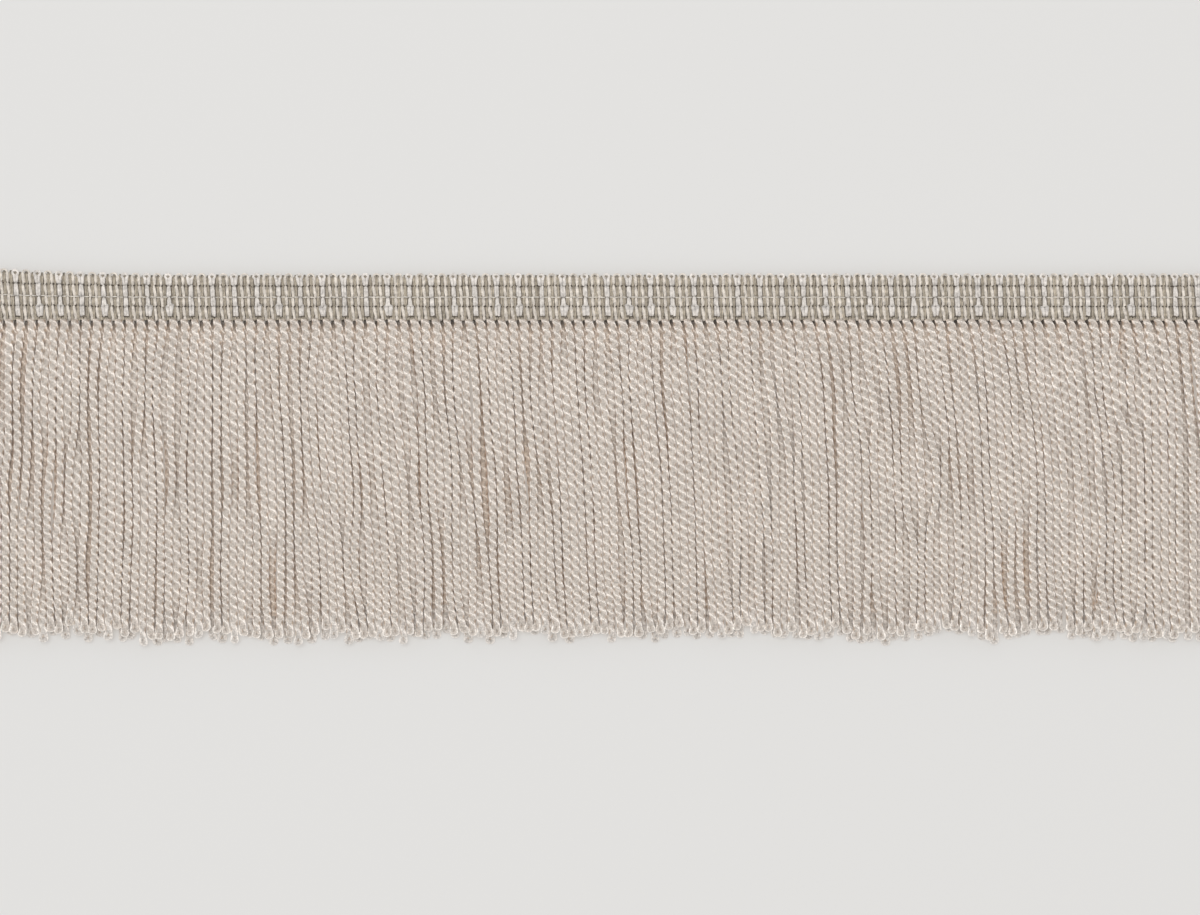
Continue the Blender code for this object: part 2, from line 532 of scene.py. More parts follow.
class Builder:
    """A node tree under construction, with short ways to add nodes and links."""

    def __init__(self, tree: bpy.types.NodeTree) -> None:
        """Takes the tree that the nodes go into."""
        self.tree = tree

    def put(self, node: Node, key: str | int, value: object) -> None:
        """Sets one of a node's inputs.

        Args:
            node: The node.
            key: The input's identifier, name or number.
            value: A socket to link from, or a plain value. A colour may come without its alpha.
        """
        found = [one for one in node.inputs if one.identifier == key]
        socket = found[0] if found else node.inputs[key]
        if isinstance(value, Socket):
            self.tree.links.new(value, socket)
        elif isinstance(value, tuple):
            socket.default_value = (*value, 1.0)[: len(socket.default_value)]
        else:
            socket.default_value = value

    def node(self, kind: str, links: Links | None = None, **settings: object) -> Node:
        """Adds a node.

        Args:
            kind: The node's type.
            links: For each input, a socket to link from or a plain value to set.
            settings: Properties of the node itself.

        Returns:
            The new node.
        """
        made = self.tree.nodes.new(kind)
        for key, value in settings.items():
            setattr(made, key, value)
        for key, value in (links or {}).items():
            self.put(made, key, value)
        return made

    def out(self, kind: str, links: Links | None = None, **settings: object) -> Socket:
        """Adds a node and gives its first output."""
        return self.node(kind, links, **settings).outputs[0]


class YarnTree(Builder):
    """The Geometry Nodes tree that sweeps an outline along polylines, turned by their twist."""

    def __init__(self) -> None:
        """Builds the tree, from its named inputs to Realize Instances and Set Material."""
        super().__init__(bpy.data.node_groups.new("yarn along a path", "GeometryNodeTree"))
        face = self.tree.interface
        for name, kind in {"Geometry": "Geometry", "Profile": "Object", "Material": "Material"}.items():
            face.new_socket(name, in_out="INPUT", socket_type=f"NodeSocket{kind}")
        face.new_socket("Geometry", in_out="OUTPUT", socket_type="NodeSocketGeometry")
        given = self.tree.nodes.new("NodeGroupInput").outputs
        paths = self.out("GeometryNodeMeshToCurve", {"Mesh": given["Geometry"]})
        upright = self.out("GeometryNodeSetCurveNormal", {"Curve": paths}, mode="Z_UP")
        turned = self.out("GeometryNodeSetCurveTilt", {"Curve": upright, "Tilt": self.named("twist")})
        shape = self.node("GeometryNodeObjectInfo", {"Object": given["Profile"]}).outputs["Geometry"]
        ring = self.out("GeometryNodeMeshToCurve", {"Mesh": shape})
        links = {"Curve": turned, "Profile Curve": ring, "Scale": self.named("girth"), "Fill Caps": True}
        yarn = self.out("GeometryNodeCurveToMesh", links)
        axes = {"X": self.named("ply_x"), "Y": self.named("ply_y"), "Z": self.named("run")}
        yarn = self.stored(yarn, "yarn", "FLOAT_VECTOR", self.out("ShaderNodeCombineXYZ", axes))
        # Kept as rim: the sideways share of the normal, by which the material paints a highlight on the
        # cords' sides and shade in their waists.
        normal = self.out("ShaderNodeSeparateXYZ", {0: self.out("GeometryNodeInputNormal")})
        rim = self.out("ShaderNodeMath", {0: normal}, operation="ABSOLUTE")
        yarn = self.stored(yarn, "rim", "FLOAT", rim)
        smooth = self.out("GeometryNodeSetShadeSmooth", {"Geometry": yarn})
        real = self.out("GeometryNodeRealizeInstances", {"Geometry": smooth})
        dressed = {"Geometry": real, "Material": given["Material"]}
        self.node("NodeGroupOutput", {"Geometry": self.out("GeometryNodeSetMaterial", dressed)})

    def named(self, name: str) -> Socket:
        """The number of a named attribute."""
        made = self.node("GeometryNodeInputNamedAttribute", {"Name": name}, data_type="FLOAT")
        return made.outputs["Attribute"]

    def stored(self, geometry: Socket, name: str, kind: str, value: Socket) -> Socket:
        """Keeps a value on the points under a name."""
        links = {"Geometry": geometry, "Name": name}
        made = self.node("GeometryNodeStoreNamedAttribute", links, data_type=kind, domain="POINT")
        self.put(made, "Value", value)
        return made.outputs[0]

    def sweep(self, paths: Skeleton, outline: Outline, finish: Material, name: str) -> Object:
        """Sweeps an outline along a skeleton's polylines and keeps the result as a plain mesh.

        Args:
            paths: The polylines, with their twist and girth.
            outline: The yarn's outline.
            finish: The yarn's material.
            name: The new piece's name.

        Returns:
            The new piece, at the origin.
        """
        profile = outline.build(name + " outline")
        base = paths.build(name + " paths")
        modifier = base.modifiers.new("making", "NODES")
        modifier.node_group = self.tree
        values = {"Profile": profile, "Material": finish}
        for item in self.tree.interface.items_tree:
            if item.in_out == "INPUT" and item.name in values:
                modifier[item.identifier] = values[item.name]
        bpy.context.view_layer.update()
        graph = bpy.context.evaluated_depsgraph_get()
        mesh = bpy.data.meshes.new_from_object(
            base.evaluated_get(graph), preserve_all_data_layers=True, depsgraph=graph
        )
        base.modifiers.remove(modifier)
        for used in (base, profile):
            bpy.data.objects.remove(used, do_unlink=True)
        mesh.name = name
        mesh.calc_loop_triangles()
        log.info("%s: %d triangles", name, len(mesh.loop_triangles))
        return placed(name, mesh)


class ShaderTree(Builder):
    """A material under construction."""

    def __init__(self, name: str) -> None:
        """Starts a material with one Principled shader."""
        self.material = bpy.data.materials.new(name)
        self.material.use_nodes = True
        super().__init__(self.material.node_tree)
        self.shader = self.tree.nodes["Principled BSDF"]

    def attribute(self, name: str, output: str = "Fac") -> Socket:
        """A value stored on the mesh, as a number unless its vector is asked for."""
        return self.node("ShaderNodeAttribute", attribute_name=name).outputs[output]

    def place(self) -> Socket:
        """The place on the trim, in metres."""
        return self.node("ShaderNodeTexCoord").outputs["Object"]

    def noise(self, place: Socket, scale: float, detail: float = 2.0, roughness: float = 0.5) -> Socket:
        """Soft random levels."""
        links = {"Vector": place, "Scale": scale, "Detail": detail, "Roughness": roughness}
        return self.out("ShaderNodeTexNoise", links)

    def math(self, operation: str, *values: object) -> Socket:
        """One Math node."""
        return self.out("ShaderNodeMath", dict(enumerate(values)), operation=operation)

    def varied(self, noise: Socket, contrast: float) -> Socket:
        """A level about 1 that follows a noise."""
        return self.math("MULTIPLY_ADD", noise, contrast * 2, 1 - contrast)

    def ramp(self, value: Socket, low: float, high: float, start: float = 0.0, end: float = 1.0) -> Socket:
        """A smooth step between two levels of a value."""
        links = {"Value": value, "From Min": low, "From Max": high, "To Min": start, "To Max": end}
        return self.out("ShaderNodeMapRange", links, interpolation_type="SMOOTHSTEP")

    def mix(self, share: object, first: object, second: object, blend: str = "MIX") -> Socket:
        """A mix of two colours."""
        links = {"Factor_Float": share, "A_Color": first, "B_Color": second}
        made = self.node("ShaderNodeMix", links, data_type="RGBA", blend_type=blend)
        return next(one for one in made.outputs if one.identifier == "Result_Color")

    def tinted(self, colour: object, tint: object) -> Socket:
        """A colour multiplied by another one."""
        return self.mix(1.0, colour, tint, "MULTIPLY")

    def scaled(self, colour: object, level: Socket) -> Socket:
        """A colour made lighter or darker by a number."""
        return self.tinted(colour, self.out("ShaderNodeCombineColor", {0: level, 1: level, 2: level}))

    def shade(self, surface: Links, bump: Socket, strength: float, height: float) -> None:
        """Joins the surface to the shader.

        Args:
            surface: The values of the shader's own inputs.
            bump: The levels that raise the surface.
            strength: How much the bump shows.
            height: The bump's height in metres.
        """
        links = {"Height": bump, "Strength": strength, "Distance": height}
        normal = self.out("ShaderNodeBump", links)
        shared = {"Sheen Roughness": 0.4, "Specular IOR Level": 0.3, "Normal": normal}
        for name, value in {**surface, **shared}.items():
            self.put(self.shader, name, value)


@dataclass(frozen=True)
class YarnFinish:
    """Soft yarn: matt fibres along the twist, and thin bright threads where the outline has them.

    A painted highlight lightens the cord's sides. Painted shade darkens it in its hollows and crevices, and
    warms it low down and in its waists. An edge holds the levels between which something sets in. Fibre,
    blotch and grain are a scale and a contrast, and roughness is that of the matt fibres and of the bright
    threads.
    """

    name: str
    matt: Triple
    bright: Triple
    foot: Triple = (0.84, 0.78, 0.70)
    foot_edge: Pair = (0.0, 0.12)
    # Colour of the painted highlight on the cord's sides, where the normal turns sideways.
    rim: Triple = (0.97, 0.903, 0.838)
    rim_share: float = 0.0
    rim_edge: Pair = (0.47, 0.79)
    waist_edge: Pair = (0.3, 0.95)
    low_tint: Triple = WHITE
    low_edge: Pair = (0.0012, 0.0032)
    hollow_shade: float = 0.22
    hollow_tint: Triple = WHITE
    crevice_shade: float = 0.62
    ragged: float = 0.30
    thread_edge: Pair = (0.24, 0.74)
    fibre: Pair = (5.0, 0.16)
    fibre_stretch: Triple = (1.0, 1.0, 0.16)
    blotch: Pair = (150.0, 0.12)
    grain: Pair = (1050.0, 0.60)
    roughness: Pair = (0.9, 0.5)
    sheen: float = 0.8
    bump: float = 0.3
    bump_height: float = 0.00008

    def material(self) -> Material:
        """Builds the material from the yarn's own attributes and its place on the trim."""
        tree = ShaderTree(self.name)
        names = ("pale", "bright", "deep", "rim", "shade")
        pale, bright, deep, rim, shade = (tree.attribute(name) for name in names)
        place = tree.place()
        stretch = {"Vector": tree.attribute("yarn", "Vector"), "Scale": self.fibre_stretch}
        fibre = tree.noise(tree.out("ShaderNodeMapping", stretch), self.fibre[0], detail=3.0, roughness=0.6)
        ragged = tree.math("SUBTRACT", bright, self.ragged / 2)
        thread = tree.ramp(tree.math("MULTIPLY_ADD", fibre, self.ragged, ragged), *self.thread_edge)
        # Painted highlight on the sides, held back in the waists, where painted shade goes instead.
        side = tree.ramp(rim, *self.rim_edge)
        waist_shade = tree.math("MULTIPLY", side, tree.ramp(deep, *self.waist_edge))
        rim_share = tree.math("MULTIPLY", tree.math("SUBTRACT", side, waist_shade), self.rim_share)
        colour = tree.mix(thread, self.matt, self.bright)
        colour = tree.mix(pale, colour, self.foot)
        colour = tree.mix(rim_share, colour, self.rim)
        # Painted warm shade low down, lifted where the foot is pale.
        height = tree.node("ShaderNodeSeparateXYZ", {0: place}).outputs[2]
        raised = tree.math("MAXIMUM", tree.ramp(height, *self.low_edge), tree.ramp(pale, *self.foot_edge))
        colour = tree.tinted(colour, tree.mix(raised, self.low_tint, WHITE))
        # Painted warm shade in the waists, where the sides turn down between the cords.
        colour = tree.mix(waist_shade, colour, tree.tinted(colour, self.hollow_tint))
        level = tree.varied(fibre, self.fibre[1])
        for scale, contrast in (self.blotch, self.grain):
            level = tree.math("MULTIPLY", level, tree.varied(tree.noise(place, scale), contrast))
        # Painted shade in the outline's hollows, and by the path's shade value in crevices.
        hollow = tree.math("MULTIPLY_ADD", deep, -self.hollow_shade, 1.0)
        crevice = tree.math("MULTIPLY_ADD", shade, -self.crevice_shade, 1.0)
        level = tree.math("MULTIPLY", level, tree.math("MULTIPLY", hollow, crevice))
        surface = {
            "Base Color": tree.scaled(colour, level),
            "Roughness": tree.ramp(thread, 0.0, 1.0, *self.roughness),
            "Sheen Weight": self.sheen,
        }
        tree.shade(surface, fibre, self.bump, self.bump_height)
        return tree.material


CORD_YARN = YarnFinish(
    "cord yarn",
    matt=(0.582, 0.519, 0.461),
    bright=(0.84, 0.783, 0.722),
    foot=(0.65, 0.61, 0.57),
    rim_share=1.0,
    low_tint=(1.08, 0.95, 0.83),
    hollow_tint=(0.85, 0.735, 0.63),
    grain=(2100.0, 0.72),
    ragged=0.12,
    thread_edge=(0.24, 0.70),
)
BAR_YARN = YarnFinish("pale bar yarn", matt=(0.43, 0.37, 0.31), bright=(0.65, 0.605, 0.56))
ARCH_YARN = YarnFinish("cream arch yarn", matt=(0.43, 0.37, 0.31), bright=(0.64, 0.58, 0.51))
MATT_YARN = YarnFinish(
    "greige heading yarn",
    matt=(0.60, 0.525, 0.42),
    bright=(0.72, 0.67, 0.60),
    hollow_shade=0.42,
    blotch=(900.0, 0.22),
)
# Its near-black matt colour is partly the thread's own dark tone and partly painted shade along the pinch
# lines; the pale warp takes the foot colour.
BINDER_THREAD_AND_SHADE = YarnFinish(
    "binder thread and painted shade", matt=(0.09, 0.072, 0.055), bright=(0.84, 0.78, 0.70), foot=(0.78, 0.73, 0.66)
)
# The ground's dark colour is partly the cloth's own and partly painted shade where it shows between the
# yarns.
SHADED_GROUND_CLOTH = YarnFinish("ground cloth in painted shade", matt=(0.36, 0.31, 0.25), bright=(0.5, 0.45, 0.39))


@dataclass(frozen=True)
class EndLoop:
    """The small eye at a cord's foot, where one ply turns back and becomes the other.

    Its route is the same on both sides: a curve through four control places, given as the distance from
    the cord's middle line and the distance below the neck. It starts at a place hidden in the cord.
    """

    aside: Floats = (0.55, 0.82, 1.20, 0.0)
    below: Floats = (0.0, 0.60, 1.75, 1.75)
    hidden: Pair = (0.34, -0.9)
    steps: int = 6
    nod: float = 13.0
    nod_scatter: float = 5.0
    swing_scatter: float = 9.0
    roll_scatter: float = 14.0

    def route(self) -> tuple[Array, Array]:
        """The eye's points, from inside the cord round its foot and back into the cord.

        Returns:
            For each point (aside, below), and the direction out of the eye there.
        """
        share = np.linspace(0, 1, self.steps + 1)
        rest = 1 - share
        weights = np.stack([rest**3, 3 * share * rest**2, 3 * share**2 * rest, share**3], axis=1)
        places = np.stack([self.aside, self.below], axis=1)
        along = np.stack([rest**2, 2 * share * rest, share**2], axis=1) @ np.diff(places, axis=0)
        out = unit(np.stack([along[:, 1], -along[:, 0]], axis=1))
        halves = np.concatenate([[self.hidden], weights @ places]), np.concatenate([[(1.0, 0.0)], out])
        points, ways = (np.concatenate([half, half[-2::-1] * (-1, 1)]) for half in halves)
        return points, ways

    def direction(self, along: Array, chance: Chance) -> Array:
        """The way an eye hangs on from its cord's end, a little down and to one side."""
        nod = math.radians(self.nod + self.nod_scatter * held(chance))
        swing = math.radians(self.swing_scatter * held(chance))
        side, _ = cross_axes(along[None, :])
        return unit(along + math.tan(swing) * side[0] - math.tan(nod) * np.array([0.0, 0.0, 1.0]))


@dataclass(frozen=True)
class CordRow:
    """One row of cords, each of two plies wound round each other that join in a small loop at the foot.

    Turns are the lengths of one turn, from the root to the neck.
    """

    side: RowSide
    plan: TrimPlan
    lay: Array
    cord: Outline
    strand: Outline
    steps_per_turn: float
    pieces: int
    seed: int
    loop: EndLoop = EndLoop()
    size_scatter: float = 0.08
    shorter: float = 0.0
    shorter_scatter: float = 0.75
    shorter_limits: Pair = (-2.0, 1.2)
    turns: Floats = (5.4, 5.6, 5.5, 5.1, 4.7)
    turn_scatter: float = 0.08
    turn_knots: int = 6
    cord_scatter: float = 0.03
    fine_steps: int = 260
    neck_ease: float = 2.2
    neck_slack: float = 0.9
    root_phase: float = 0.55
    root_phase_scatter: float = 0.25
    root_girth: float = 0.82
    root_taper: float = 1.2
    root_fill: float = 0.14
    root_fill_reach: float = 3.0
    root_shade: float = 0.25
    root_slant: float = 0.55
    root_slant_reach: float = 1.6
    waist_fill: float = 0.05
    upper_girth: float = 1.03
    full_girth: float = 0.85
    hem_girth: float = 0.88
    girth_fall: float = 12.0
    girth_scatter: float = 0.06
    girth_knots: int = 12
    neck_girth: float = 0.90
    neck_taper: float = 0.8
    strand_radius: float = 0.38
    foot_pale: float = 0.10
    foot_reach: float = 7.0
    hem_seed: int = 8
    hem_wave: float = 0.8
    hem_step: float = 7.0
    hem_limits: Pair = (-1.8, 0.9)
    reach: float = 1.30
    grain_length: float = 50.0
    eye_grain: float = 0.5

    def build(self, tree: YarnTree, finish: Material) -> list[Object]:
        """Makes the row's cords, shared out over a few pieces, and their end loops as one more piece.

        Args:
            tree: The tree that sweeps the yarn.
            finish: The cords' material.

        Returns:
            The pieces of cords, and then the piece of loops.
        """
        chance = np.random.default_rng(self.seed)
        made = []
        eyes = Skeleton(*PATH_VALUES)
        for number, cords in enumerate(np.array_split(self.lay, self.pieces), start=1):
            wound = Skeleton(*PATH_VALUES)
            for cord in cords:
                self.add_cord(wound, eyes, cord, chance)
            made.append(tree.sweep(wound, self.cord, finish, f"{self.side.node}_{number}"))
        made.append(tree.sweep(eyes, self.strand, finish, f"{self.side.node}_loops"))
        return made

    def add_cord(self, wound: Skeleton, eyes: Skeleton, cord: Array, chance: Chance) -> None:
        """Adds one cord's wound length and the eye at its foot.

        Args:
            wound: The polylines of the wound lengths.
            eyes: The polylines of the eyes.
            cord: The cord's stations, as (along, depth, height).
            chance: The row's random numbers.
        """
        points = self.plan.point(*cord.T) / MM
        run = running(points)
        size = 1 + self.size_scatter * held(chance)
        foot = run[-1] - self.shorter + self.shorter_scatter * held(chance, *self.shorter_limits)
        foot += self.hem_wave * self.hem(cord[-1, 0])
        neck = foot - size * self.loop.below[-1] - self.strand_radius
        phase, at = self.winding(neck, chance)
        centre = np.stack([np.interp(at, run, axis) for axis in points.T], axis=1)
        centre[:, 0] -= self.root_slant * bell(at, self.root_slant_reach)
        along = tangents(centre)
        level, upright = cross_axes(along)
        out = np.cos(phase)[:, None] * level - np.sin(phase)[:, None] * upright
        girth = self.girths(at, neck, phase, chance)
        shift = chance.uniform(0, self.grain_length)
        centre[:, 2] = np.maximum(centre[:, 2], self.reach * girth)
        wound.add(
            centre * MM,
            twist=twist_towards(centre, out),
            girth=girth,
            run=at + shift,
            pale=self.foot_pale * np.clip(1 - (neck - at) / self.foot_reach, 0, 1),
            shade=self.root_shade * bell(at, self.root_taper),
        )
        down = self.loop.direction(along[-1], chance)
        eye, outward = (part[:, :1] * out[-1] + part[:, 1:] * down for part in self.loop.route())
        eye = centre[-1] + size * eye
        eye[:, 2] = np.maximum(eye[:, 2], self.strand_radius)
        twist = twist_towards(eye, outward)
        run = neck + shift + np.arange(len(eye)) * self.eye_grain
        eyes.add(eye * MM, twist=twist, girth=1.0, run=run, pale=self.foot_pale)

    def girths(self, at: Array, neck: float, phase: Array, chance: Chance) -> Array:
        """A cord's girth, drawn in at its root and neck and fuller where its long axis stands up.

        Args:
            at: The points' distances from the root.
            neck: The length of the wound part.
            phase: The turn at each point.
            chance: The row's random numbers.

        Returns:
            The girth at each point.
        """
        wave = spread(at, chance.normal(size=self.girth_knots), neck)
        girth = 1 - (1 - self.root_girth) * bell(at, self.root_taper)
        girth = girth * (1 - (1 - self.neck_girth) * bell(neck - at, self.neck_taper))
        body = self.full_girth + (self.hem_girth - self.full_girth) * at / neck
        body = body + (self.upper_girth - self.full_girth) * np.exp(-at / self.girth_fall)
        fill = self.waist_fill + (self.root_fill - self.waist_fill) * bell(at, self.root_fill_reach)
        return girth * body * (1 + self.girth_scatter * wave) * (1 + fill * np.sin(phase) ** 2)

    def hem(self, along: float) -> float:
        """How far the feet of neighbouring cords lie below or above the mean hem, the same for both rows."""
        half = self.plan.length / 2
        knots = np.arange(-half, half + self.hem_step, self.hem_step)
        waves = held(np.random.default_rng(self.hem_seed), *self.hem_limits, size=len(knots))
        return float(np.interp(along, knots, waves))

    def winding(self, neck: float, chance: Chance) -> tuple[Array, Array]:
        """The turns of one cord's plies.

        Args:
            neck: The length of the wound part.
            chance: The row's random numbers.

        Returns:
            The turn at each of the cord's points, and the points' distances from the root.
        """
        fine = np.linspace(0.0, neck, self.fine_steps)
        slow = spread(fine / neck, chance.normal(size=self.turn_knots))
        turn = spread(fine / neck, self.turns)
        turn = turn * (1 + self.turn_scatter * slow) * (1 + self.cord_scatter * chance.normal())
        turn = turn * (1 + self.neck_slack * bell(neck - fine, self.neck_ease))
        wound = np.concatenate([[0.0], np.cumsum(np.diff(fine) / turn[1:])]) * FULL_TURN
        start = self.root_phase + self.root_phase_scatter * chance.normal()
        roll = math.radians(held(chance) * self.loop.roll_scatter)
        finish = round((start + wound[-1] - roll) / math.pi) * math.pi + roll
        phase = start + wound * (finish - start) / wound[-1]
        count = int(round((phase[-1] - phase[0]) / FULL_TURN * self.steps_per_turn)) + 1
        levels = np.linspace(phase[0], phase[-1], count)
        return levels, np.interp(levels, phase, fine)


@dataclass(frozen=True)
class WovenHeading:
    """The woven head of the trim: pale bars, cream arches, matt yarns between them, and binder warps.

    Every yarn is drawn by itself, a little differently from its neighbours. Its path is rows of (along,
    depth, height, girth, shade). An arch is its half width and radius, and a wave its size and rate. The
    ground's top edge is a depth and a scallop, and its weave a relief and a pitch. Some bars have other
    places for the lower half of their legs, and a matt yarn's tip is added to the first row of its path.
    """

    plan: TrimPlan
    tree: YarnTree
    seed: int = 5
    warps: Table = tabled(
        "depth pull radius sag drop pale",
        (3.5, 1.0, 0.17, 0.14, 0.0, 0.0),
        (6.62, 0.85, 0.15, 0.10, 0.0, 1.0),
        (9.15, 1.0, 0.17, 0.10, 0.0, 0.0),
        (12.0, 0.45, 0.11, 0.10, 0.3, 0.0),
    )
    warp_steps: int = 10
    warp_over: Pair = (2.4, 1.4)
    warp_lift: float = 0.36
    warp_sink: float = 0.55
    warp_waves: tuple[Pair, Pair] = ((0.10, 2.3), (0.08, 0.7))
    warp_sway: Pair = (0.06, 1.9)
    pinch_scatter: float = 0.15
    top: float = 0.24
    bottom: float = 12.9
    overrun: float = 0.6
    last_row: float = 2.0
    end_inset: float = 0.1
    least_step: float = 0.1
    lean: float = 0.6
    lean_at_curl: float = 0.5
    grain_step: float = 7.0
    girth_scatter: float = 0.05
    notch_depth: float = 0.42
    notch_width: float = 0.42
    notch_fall: float = 1.6
    notch_girth: float = 0.46
    foot_drop: float = 0.35
    arch_turn: Floats = (0, 38, 66, 90, 114, 142, 180)
    arch_drop: float = 0.68
    arch_lift: float = 0.23
    arch_sink: float = 0.08
    bar_start: float = 1.60
    bar_end: float = 11.65
    bar_end_scatter: float = 0.08
    bar_height: float = 2.26
    bar_radius: float = 0.39
    bar_flat: float = 0.8
    bar_shift: float = 0.07
    bar_aside: Floats = (0.52, 0.32, 0.20, 0.32, 0.06, 0.30, 0.54, 0.32)
    bar_other: Floats = (0.20, 0.26, 0.30, 0.26)
    bar_other_share: float = 0.35
    bar_least: float = 0.04
    bar_scatter: float = 0.07
    bar_touch: float = 1.05
    bar_shade: float = 0.6
    bar_arch: Pair = (0.80, 0.34)
    leg_start: float = 1.25
    leg_height: float = 2.02
    leg_radius: float = 0.45
    leg_shift: float = 0.05
    leg_aside: float = 0.90
    leg_slant: Floats = (0.14, 0.30, 0.12, 0.30)
    leg_scatter: float = 0.06
    leg_shade: float = 0.1
    leg_foot_shade: Triple = (0.1, 0.3, 0.45)
    even_arch: Pair = (0.90, 0.25)
    matt_start: float = 1.60
    matt_start_scatter: float = 0.1
    matt_height: float = 1.62
    matt_radius: float = 0.45
    matt_radius_scatter: float = 0.10
    matt_places: Triple = (1.28, 3.0, 4.72)
    matt_scatter: float = 0.08
    matt_shade: Pair = (0.05, 0.35)
    # The tips' last column adds painted shade where the yarns turn down.
    matt_tip: tuple[Floats, Floats] = ((0.0, -0.95, -0.85, -0.12, 0.9), (0.0, -0.45, -0.4, -0.05, 0.55))
    stub_start: float = 12.15
    stub_radius: float = 0.42
    stub_places: Pair = (-0.45, 0.45)
    stub_shift: float = 0.05
    stub_shade: float = 0.3
    ground_steps: int = 4
    ground_rows: int = 9
    ground_top: Pair = (0.85, 0.32)
    ground_end: float = 12.75
    ground_edge: float = 0.45
    ground_rise: float = 0.55
    ground_rise_rate: float = 8.0
    ground_weave: Pair = (0.14, 1.5)
    ground_low: float = 0.04

    def pieces(self) -> list[Object]:
        """Makes the heading's pieces.

        Returns:
            The cloth ground, and then the yarns that lie on it.
        """
        finishes = (BAR_YARN, ARCH_YARN, MATT_YARN, BINDER_THREAD_AND_SHADE)
        bar, arch, matt, binder = (finish.material() for finish in finishes)
        ground = self.ground(SHADED_GROUND_CLOTH.material())
        yarns = [self.bars(bar), self.arches(arch), self.matt_yarns(matt), self.binders(binder)]
        return [ground, *yarns]

    def place(self, along: Array, depth: Array, height: Array) -> Array:
        """Places on the leaning heading as points of the frame."""
        lean = self.lean + self.plan.curled(along, self.lean_at_curl)
        return self.plan.point(along + lean * (depth / self.plan.heading_depth - 0.5), depth, height)

    def depths(self, start: float, end: float, pinches: Array) -> Array:
        """Depths for a yarn's points: each pinch, its two shoulders and one point between pinches."""
        marks = [start, *pinches, self.bottom + self.overrun]
        found = [start]
        for above, below in zip(marks, marks[1:]):
            inner = [above + self.notch_width, (above + below) / 2, below - self.notch_width, below]
            low, high = found[-1] + self.least_step, end - self.least_step
            found += [one for one in inner if high > one > low]
        return np.array(found + [end])

    def leg(
        self, aside: Array, start: float, end: float, height: float, radius: float, chance: Chance
    ) -> Array:
        """One leg of a yarn, drawn in at its own pinches.

        Args:
            aside: Its place sideways, at the top and the bottom of each row of the weave.
            start: The depth at which it starts.
            end: The depth at which it ends.
            height: The height of its middle line.
            radius: Its radius.
            chance: The heading's random numbers.

        Returns:
            The rows of its path.
        """
        pinches = column(self.warps, "depth")
        pinches = pinches + self.pinch_scatter * held(chance, size=len(pinches))
        depth = self.depths(start, end, pinches)
        away = np.abs(depth[:, None] - pinches) / self.notch_width
        drawn = np.max(column(self.warps, "pull") * np.exp(-away * self.notch_fall), axis=1)
        marks = np.array([0.0, *pinches, self.bottom + self.last_row])
        row = np.clip(np.searchsorted(marks, depth, side="right") - 1, 0, len(aside) // 2 - 1)
        share = np.clip((depth - marks[row]) / (marks[row + 1] - marks[row]), 0.0, 1.0)
        above, below = aside.reshape(-1, 2)[row].T
        uneven = 1 + self.girth_scatter * chance.normal(size=len(depth))
        girth = radius * (1 - (1 - self.notch_girth) * drawn) * uneven
        place = above + share * (below - above)
        rows = np.stack([place, depth, height - self.notch_depth * drawn, girth, drawn], axis=1)
        rows[-1, 2] -= self.foot_drop
        return rows

    def arch(self, legs: list[Array], size: Pair, middle: float) -> Array:
        """Joins two legs, the second one mirrored, over an arch of this half width and radius.

        Args:
            legs: The paths of the right leg and of the left one, both given as right legs about 0.
            size: The arch's half width and radius.
            middle: Its place along the trim.

        Returns:
            The rows of the whole yarn's path.
        """
        right, left = legs[0], legs[1] * (-1, 1, 1, 1, 1)
        turn = np.radians(self.arch_turn)
        width, radius = size
        same = np.ones(len(turn))
        depth = self.top + radius - self.arch_lift + self.arch_drop * (1 - np.sin(turn))
        height = (right[0, 2] - self.arch_sink) * same
        arc = np.stack([width * np.cos(turn), depth, height, radius * same, 0 * same], axis=1)
        return np.concatenate([right[::-1], arc, left]) + (middle, 0, 0, 0, 0)

    def yarns(self, lines: list[Array], outline: Outline, name: str, finish: Material) -> Object:
        """Sweeps yarns that are given as the rows of their paths."""
        paths = Skeleton(*PATH_VALUES)
        for rows in lines:
            run = running(rows[:, :3]) + rows[0, 0] * self.grain_step
            points = self.place(*rows[:, :3].T)
            paths.add(points, girth=rows[:, 3], run=run, shade=rows[:, 4])
        return self.tree.sweep(paths, outline, finish, name)

    def loop_outline(self) -> Outline:
        """The flattened outline of the bars' and the arches' yarns."""
        return Outline.round(sides=7, bright=1.0, flat=self.bar_flat)

    def bars(self, finish: Material) -> Object:
        """The pale bars, each an arch with its legs side by side."""
        chance = np.random.default_rng(self.seed)
        lines = []
        for middle in self.plan.crests:
            shift = self.bar_shift * chance.normal()
            legs = []
            table = np.array(self.bar_aside)
            if chance.random() < self.bar_other_share:
                table[4:] = self.bar_other
            for _ in range(2):
                aside = table + self.bar_scatter * chance.normal(size=len(table))
                aside = np.maximum(aside, self.bar_least)
                end = self.bar_end + self.bar_end_scatter * chance.normal()
                rows = self.leg(aside, self.bar_start, end, self.bar_height, self.bar_radius, chance)
                rows[:, 3] = np.maximum(rows[:, 3], rows[:, 0] * self.bar_touch)
                rows[:, 4] *= self.bar_shade
                legs.append(rows)
            lines.append(self.arch(legs, self.bar_arch, middle + shift))
        return self.yarns(lines, self.loop_outline(), "heading_bars", finish)

